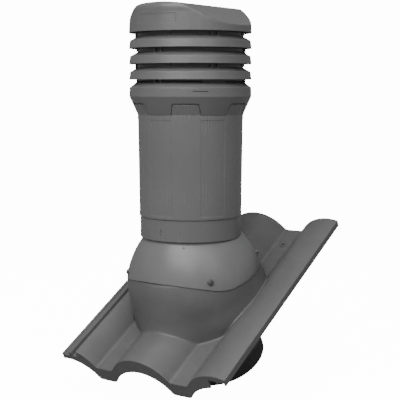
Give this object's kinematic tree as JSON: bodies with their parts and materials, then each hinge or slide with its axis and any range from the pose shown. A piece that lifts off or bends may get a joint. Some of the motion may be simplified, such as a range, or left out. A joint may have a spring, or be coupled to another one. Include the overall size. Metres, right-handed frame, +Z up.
{
  "type": "roof tile vent",
  "caption": "Graphite plastic roof vent: a double roll tile plate with a bell hood, a plumb pipe and a louvred head under a ridged cap.",
  "frame": {"origin": "centre of the open mouth of the duct spigot, on the spigot's own axis, under the tile plate", "axes": "+Z up along the plumb pipe, +X along the eave to the right as seen from the eave, +Y level towards the ridge. The tile plate rises at 28.4 degrees towards +Y, and the duct spigot and the bell stand square to it."},
  "size_m": [0.33, 0.387, 0.6533],
  "materials": {
    "tile_plastic": "satin moulded graphite",
    "hood_plastic": "satin moulded graphite",
    "pipe_plastic": "satin extruded graphite",
    "head_plastic": "satin moulded graphite",
    "inner_plastic": "plain grey",
    "adaptor_plastic": "matte near-black",
    "seal_rubber": "matte black",
    "screw_coating": "dark coated steel",
    "foam": "expanded foam"
  },
  "bodies": {
    "root": {"base_tile": "tile_plastic", "hood": "hood_plastic", "collar_seal": "seal_rubber", "hood_screw_front_left": "screw_coating", "hood_screw_front_right": "screw_coating", "hood_screw_rear_left": "screw_coating", "hood_screw_rear_right": "screw_coating", "base_ring": "pipe_plastic", "outer_sleeve": "pipe_plastic", "inner_pipe": "inner_plastic", "pipe_seal": "seal_rubber", "insulation": "foam", "head_base": "head_plastic", "louvre_ring_1": "head_plastic", "louvre_ring_2": "head_plastic", "louvre_ring_3": "head_plastic", "cap": "head_plastic", "duct_adaptor": "adaptor_plastic", "flange_gasket": "seal_rubber", "adaptor_seal": "seal_rubber"}
  },
  "joints": []
}
